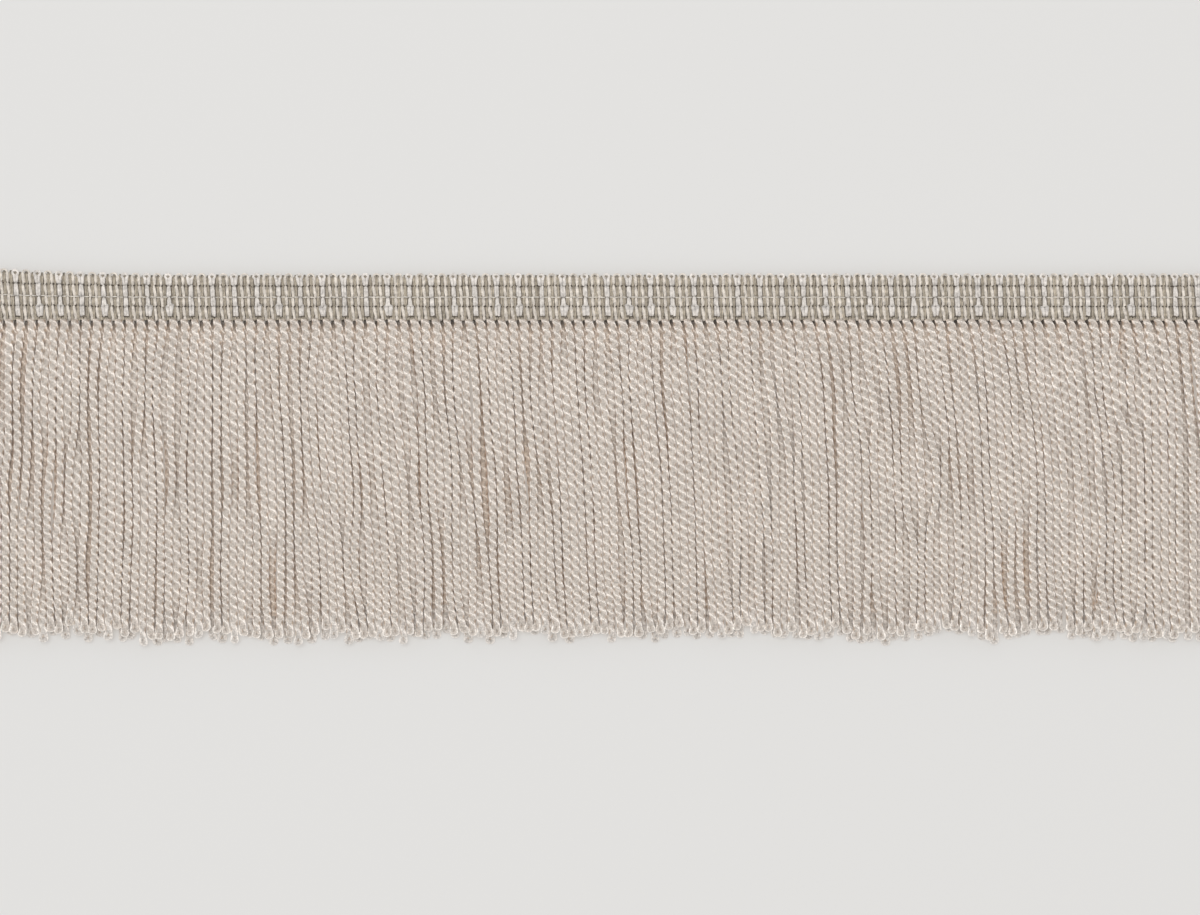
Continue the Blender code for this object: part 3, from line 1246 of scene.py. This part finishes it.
    def arches(self, finish: Material) -> Object:
        """The thinner arches between the bars, with their legs apart."""
        chance = np.random.default_rng(self.seed + 1)
        slant = (np.array(self.leg_slant)[:, None] * (-0.5, 0.5)).ravel()
        lines = []
        for middle in self.plan.crests + self.plan.cord_pitch:
            legs = []
            for side in (1, -1):
                aside = self.leg_aside + side * slant + self.leg_scatter * chance.normal(size=len(slant))
                rows = self.leg(aside, self.leg_start, self.bottom, self.leg_height, self.leg_radius, chance)
                rows[:, 4] *= self.leg_shade
                rows[-3:, 4] = self.leg_foot_shade
                legs.append(rows)
            lines.append(self.arch(legs, self.even_arch, middle + self.leg_shift * chance.normal()))
        return self.yarns(lines, self.loop_outline(), "heading_arches", finish)

    def matt_yarns(self, finish: Material) -> Object:
        """The recessed yarns beside the bars and inside the even arches, turned down at their tops.

        Short stubs lie between them at the foot of each bar.
        """
        chance = np.random.default_rng(self.seed + 2)
        marks = len(self.warps) * 2
        kept, random = self.matt_shade
        lines = []
        for middle in self.plan.crests:
            for place in self.matt_places:
                aside = middle + place + self.matt_scatter * chance.normal(size=marks)
                radius = self.matt_radius * (1 + self.matt_radius_scatter * held(chance, -1.5, 1.5))
                start = self.matt_start + self.matt_start_scatter * chance.normal()
                rows = self.leg(aside, start, self.bottom, self.matt_height, radius, chance)
                # Painted shade at the pinches, and a random darkening that is each yarn's own tone.
                rows[:, 4] = rows[:, 4] * kept + random * chance.random()
                lines.append(np.concatenate([rows[0] + np.array(self.matt_tip), rows]))
            for side in self.stub_places:
                aside = middle + side + np.full(marks, self.stub_shift * chance.normal())
                rows = self.leg(
                    aside, self.stub_start, self.bottom, self.matt_height, self.stub_radius, chance
                )
                rows[:, 4] = self.stub_shade
                lines.append(rows)
        return self.yarns(lines, Outline.double(), "heading_matt", finish)

    def lengthwise(self, count: int) -> Array:
        """Places spaced evenly from one end of the heading to the other."""
        half = self.plan.length / 2 - self.end_inset
        return np.linspace(-half, half, count)

    def binders(self, finish: Material) -> Object:
        """The thin warps that cross the yarns and draw them in."""
        along = self.lengthwise(self.plan.bars * self.warp_steps + 1)
        turn = (along - self.plan.crests[0]) / (self.plan.cord_pitch * 2) * FULL_TURN
        gain, loss = self.warp_over
        on_bar = np.clip(np.cos(turn) * gain - loss, 0.0, 1.0)
        over_bar = self.bar_height - self.notch_depth + self.bar_radius * self.notch_girth
        waves = sum(size * np.sin(along * rate) for size, rate in self.warp_waves)
        size, rate = self.warp_sway
        paths = Skeleton(*PATH_VALUES)
        for number, warp in enumerate(self.warps):
            base = self.matt_height - self.warp_sink
            if warp["pale"]:
                base = self.leg_height - self.warp_lift + waves
            height = base + (over_bar - base - warp["drop"]) * on_bar
            sag = warp["sag"] * on_bar + size * np.sin(along * rate + number)
            points = self.place(along, warp["depth"] + sag, height)
            paths.add(points, girth=warp["radius"], run=along, pale=warp["pale"] * (1 - on_bar))
        return self.tree.sweep(paths, Outline.round(sides=5, bright=0.0), finish, "heading_binders")

    def ground(self, finish: Material) -> Object:
        """The thin woven ground under the yarns, as one closed sheet. Its dark colour is partly its own and
        partly painted shade, where it shows between the yarns.
        """
        columns, rows = self.plan.bars * self.ground_steps + 1, self.ground_rows
        along = self.lengthwise(columns)
        top, scallop = self.ground_top
        first = top - scallop * np.cos((along - self.plan.crests[0]) / self.plan.cord_pitch * FULL_TURN)
        grid_along, share = np.meshgrid(along, np.linspace(0, 1, rows), indexing="ij")
        depth = first[:, None] + (self.ground_end - first[:, None]) * share
        relief, pitch = self.ground_weave
        rise = self.ground_edge + self.ground_rise * np.clip(share * self.ground_rise_rate, 0, 1)
        upper = self.place(grid_along, depth, rise + relief * np.cos(grid_along * FULL_TURN / pitch))
        lower = self.place(grid_along, depth, np.full(grid_along.shape, self.ground_low))
        size = columns * rows
        index = np.arange(size).reshape(columns, rows)
        quads = np.stack([index[:-1, :-1], index[:-1, 1:], index[1:, 1:], index[1:, :-1]], axis=-1)
        quads = quads.reshape(-1, 4)
        faces = np.stack([quads, quads[:, (0, 3, 2, 1)] + size], axis=1).reshape(-1, 4)
        rim = np.concatenate([index[:, 0], index[-1, 1:], index[-2::-1, -1], index[0, -2:0:-1]])
        after = np.roll(rim, -1)
        walls = np.stack([rim, after, after + size, rim + size], axis=1)
        mesh = bpy.data.meshes.new("heading_ground")
        points = np.concatenate([upper.reshape(-1, 3), lower.reshape(-1, 3)])
        mesh.from_pydata(points.tolist(), [], np.concatenate([faces, walls]).tolist())
        mesh.validate()
        mesh.materials.append(finish)
        mesh.shade_smooth()
        return placed("heading_ground", mesh)


@dataclass(frozen=True)
class Studio:
    """The pale floor, the soft light and the overhead camera."""

    lens: float = 85.0
    sensor: float = 36.0
    view_width: float = 330.0
    camera_x: float = 2.3
    camera_y: float = -0.35
    floor_size: float = 4.0
    floor_colour: Triple = (0.402, 0.430, 0.450)
    # Painted light: the plate's own glow keeps the shade round the trim faint and warms the floor seen
    # between the cords. The bluish floor colour balances it.
    floor_glow: Triple = (0.30, 0.26, 0.222)
    floor_grain: Pair = (900.0, 0.005)
    horizon: float = 1.4
    zenith: float = 0.55
    zenith_from: float = 0.85
    key_place: Triple = (-0.12, 0.18, 1.5)
    key_size: float = 0.75
    key_power: float = 9.7

    def floor(self) -> None:
        """The plate that the trim lies on, glowing softly from within as painted light."""
        half = self.floor_size / 2
        mesh = bpy.data.meshes.new("floor")
        edge = [(-half, -half, 0), (half, -half, 0), (half, half, 0), (-half, half, 0)]
        mesh.from_pydata(edge, [], [(0, 1, 2, 3)])
        tree = ShaderTree("pale plate")
        scale, contrast = self.floor_grain
        grain = tree.noise(tree.place(), scale, detail=3.0)
        surface = {
            "Base Color": tree.scaled(self.floor_colour, tree.varied(grain, contrast)),
            "Roughness": 0.9,
            "Sheen Weight": 0.0,
            "Emission Color": self.floor_glow,
            "Emission Strength": 1.0,
        }
        tree.shade(surface, grain, strength=0.05, height=0.0001)
        mesh.materials.append(tree.material)
        placed("floor", mesh)

    def light(self) -> None:
        """Light from low down all round, as from a ring of lamps, and a large soft lamp above the heading."""
        world = bpy.data.worlds.new("studio")
        world.use_nodes = True
        tree = Builder(world.node_tree)
        direction = tree.node("ShaderNodeTexCoord").outputs["Generated"]
        height = tree.node("ShaderNodeSeparateXYZ", {0: direction}).outputs[2]
        links = {"Value": height, "From Max": self.zenith_from, "To Min": self.horizon, "To Max": self.zenith}
        background = tree.tree.nodes["Background"]
        tree.put(background, "Strength", tree.out("ShaderNodeMapRange", links))
        tree.put(background, "Color", WHITE)
        bpy.context.scene.world = world
        lamp = bpy.data.lights.new("key", "AREA")
        lamp.size = self.key_size
        lamp.energy = self.key_power
        key = placed("key", lamp)
        key.location = self.key_place
        key.rotation_euler = (-Vector(self.key_place)).to_track_quat("-Z", "Y").to_euler()

    def camera(self) -> None:
        """The overhead camera, with the trim running past both sides of the picture."""
        data = bpy.data.cameras.new("overhead")
        data.lens = self.lens
        data.sensor_width = self.sensor
        data.clip_start = 0.01
        made = placed("overhead", data)
        height = self.view_width * self.lens / self.sensor
        made.location = (self.camera_x * MM, self.camera_y * MM, height * MM)
        bpy.context.scene.camera = made
        bpy.context.scene.view_settings.view_transform = "Standard"


def cord_rows(plan: TrimPlan) -> list[CordRow]:
    """Both rows of cords, where they have settled.

    Args:
        plan: The trim's shared sizes.

    Returns:
        The back row and the front row.
    """
    lay = CordBed(plan).settle()
    back = CordRow(
        side=RowSide.BACK,
        plan=plan,
        lay=lay[RowSide.BACK],
        cord=Outline.cord((1.28, 0.0, 1.0, 0.0), (1.13, 0.40, -0.1, 0.1), (0.50, 0.90, 0.0, 0.8)),
        strand=Outline.strand((0.40, 0.10, 1.0, 0.0), (0.20, 0.34, 0.5, 0.1), (-0.80, 0.08, 0.0, 1.0)),
        steps_per_turn=8.0,
        pieces=2,
        seed=21,
        root_girth=0.7,
        root_taper=2.6,
        root_shade=1.55,
        root_slant=0.0,
        upper_girth=1.0,
        foot_pale=0.70,
    )
    front = CordRow(
        side=RowSide.FRONT,
        plan=plan,
        lay=lay[RowSide.FRONT],
        cord=Outline.cord(
            (1.28, 0.0, 1.0, 0.0), (1.16, 0.21, 0.25, 0.0), (0.98, 0.60, 0.0, 0.3), (0.42, 0.93, 0.0, 0.9)
        ),
        strand=Outline.strand(
            (0.40, 0.10, 1.0, 0.0), (0.28, 0.29, 0.7, 0.0), (-0.16, 0.36, 0.0, 0.3), (-0.80, 0.07, 0.0, 1.0)
        ),
        steps_per_turn=9.0,
        pieces=3,
        seed=34,
        shorter=1.6,
    )
    return [back, front]


def dress(piece: Object, node: str) -> Object:
    """Makes a piece ride on the trim and stand for its solid, whose own part is hidden."""
    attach(piece, BODY)
    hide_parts(node)
    return piece


def main() -> None:
    """Builds the trim's pieces in order, and the studio around them."""
    logging.basicConfig(level=logging.INFO, format="%(name)s: %(message)s")
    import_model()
    plan = TrimPlan.from_frame()
    tree = YarnTree()
    heading = WovenHeading(plan, tree).pieces()
    ground, *on_ground = [dress(piece, "heading") for piece in heading]
    yarn = CORD_YARN.material()
    for row in cord_rows(plan):
        for piece in row.build(tree, yarn):
            dress(piece, row.side.node)
    studio = Studio()
    studio.floor()
    studio.light()
    studio.camera()
    bpy.context.view_layer.update()


if __name__ == "__main__":
    main()
